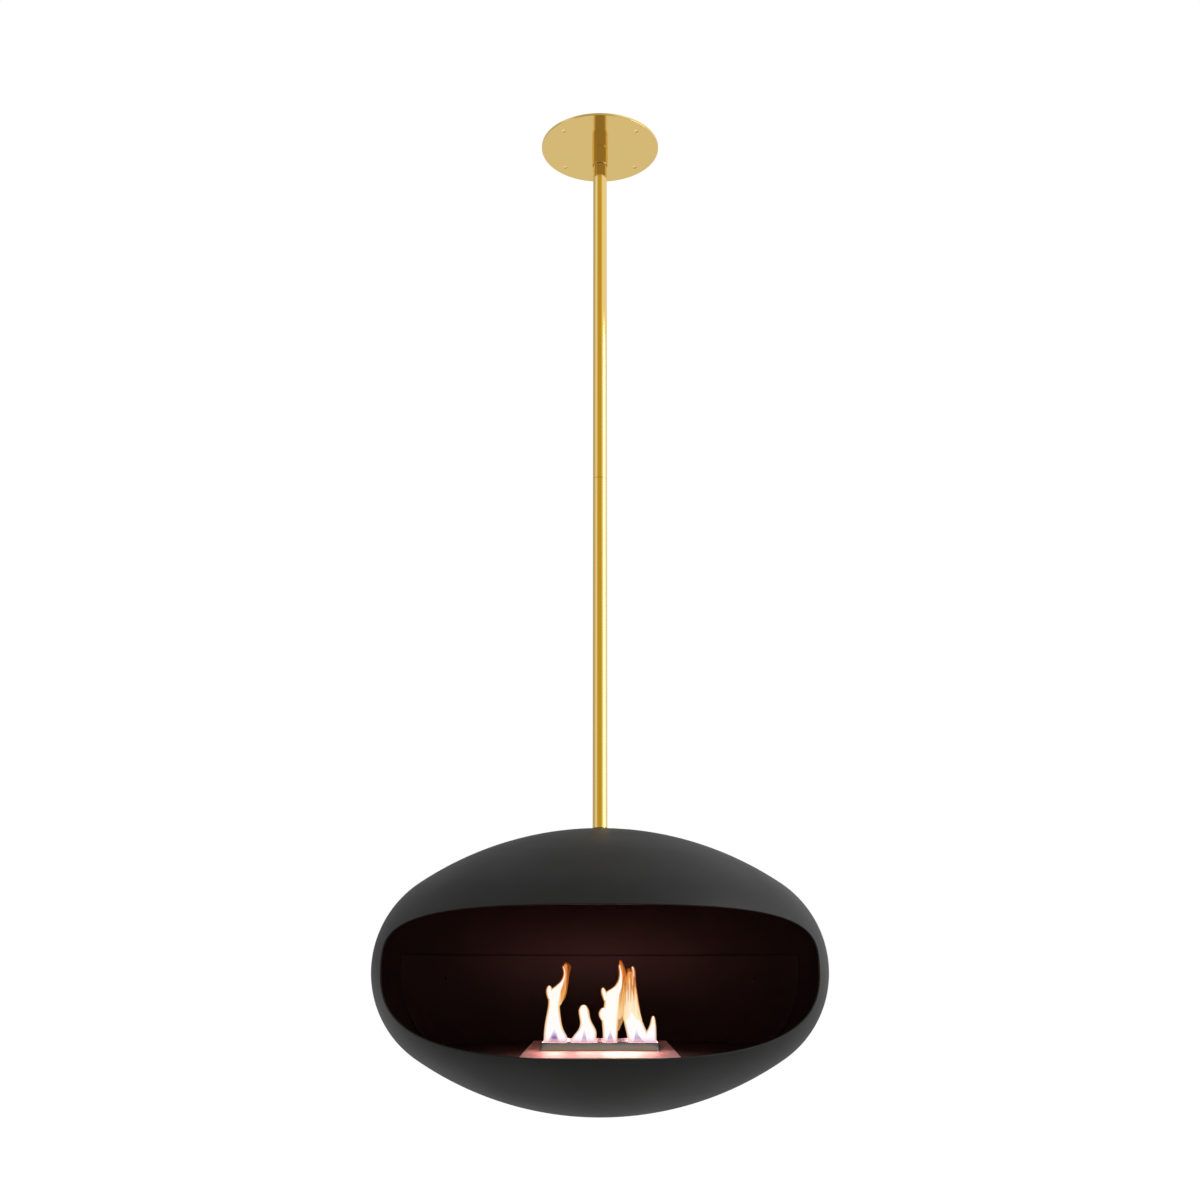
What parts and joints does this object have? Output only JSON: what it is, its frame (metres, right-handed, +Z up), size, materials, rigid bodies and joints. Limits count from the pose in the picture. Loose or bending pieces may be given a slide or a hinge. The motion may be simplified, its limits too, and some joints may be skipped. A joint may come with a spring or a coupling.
{
  "type": "hanging fireplace",
  "caption": "Pebble-shaped steel fireplace with a wide mouth and a bioethanol burner, hung from a round ceiling plate on a polished pole that lets it turn.",
  "frame": {"origin": "middle of the top face of the ceiling plate, where it meets the ceiling", "axes": "+Z up out of the ceiling plate, everything else below the origin; -Y the way the mouth of the firebox looks at rest; +X to the right when looking into the mouth"},
  "size_m": [0.9, 0.8658, 2.0773],
  "materials": {
    "polished_gold": "mirror-polished gold-coloured plating on steel",
    "machined_steel": "turned, zinc plated",
    "bearing_bronze": "turned, oiled",
    "charcoal_paint": "matt heat-resistant stove paint on pressed steel",
    "hearth_black": "matt heat-resistant black on sheet steel",
    "brushed_stainless": "fine brushed stainless sheet",
    "ceramic_fibre": "matt pressed fibre",
    "flame": "burning ethanol vapour, a light source with no surface"
  },
  "bodies": {
    "ceiling_mount": {"ceiling_plate": "polished_gold", "ceiling_collar": "polished_gold", "swivel_pin": "machined_steel", "thrust_washer": "bearing_bronze", "guide_bush": "bearing_bronze"},
    "hanging_fire": {"upper_pole": "polished_gold", "upper_pole_plug": "machined_steel", "pole_coupler": "machined_steel", "lower_pole": "polished_gold", "lower_pole_plug": "machined_steel", "pole_stud": "machined_steel", "upper_shell": "charcoal_paint", "lower_shell": "charcoal_paint", "crown_boss": "hearth_black", "crown_washer": "machined_steel", "crown_nut": "machined_steel", "hearth_plate": "hearth_black", "hearth_bracket_1": "hearth_black", "hearth_bracket_2": "hearth_black", "hearth_bracket_3": "hearth_black", "hearth_bracket_4": "hearth_black", "hearth_tray": "brushed_stainless", "rear_heat_shield": "hearth_black", "shield_stud_left": "hearth_black", "shield_stud_right": "hearth_black"},
    "burner": {"burner_rim": "brushed_stainless", "burner_deck": "brushed_stainless", "fuel_tank": "brushed_stainless", "ceramic_core": "ceramic_fibre", "lid_rail_left": "brushed_stainless", "lid_rail_right": "brushed_stainless"},
    "snuffer": {"snuffer_lid": "brushed_stainless"}
  },
  "joints": [
    {"name": "pole_swivel", "type": "hinge", "parent": "ceiling_mount", "child": "hanging_fire", "pos_m": [0, 0, -0.0413], "axis": [0, 0, 1], "continuous": true},
    {"name": "burner_lift_out", "type": "slide", "parent": "hanging_fire", "child": "burner", "axis": [0, 0, 1], "range_m": [0, 0.1]},
    {"name": "snuffer_slide", "type": "slide", "parent": "burner", "child": "snuffer", "axis": [0, -1, 0], "range_m": [0, 0.063]}
  ]
}
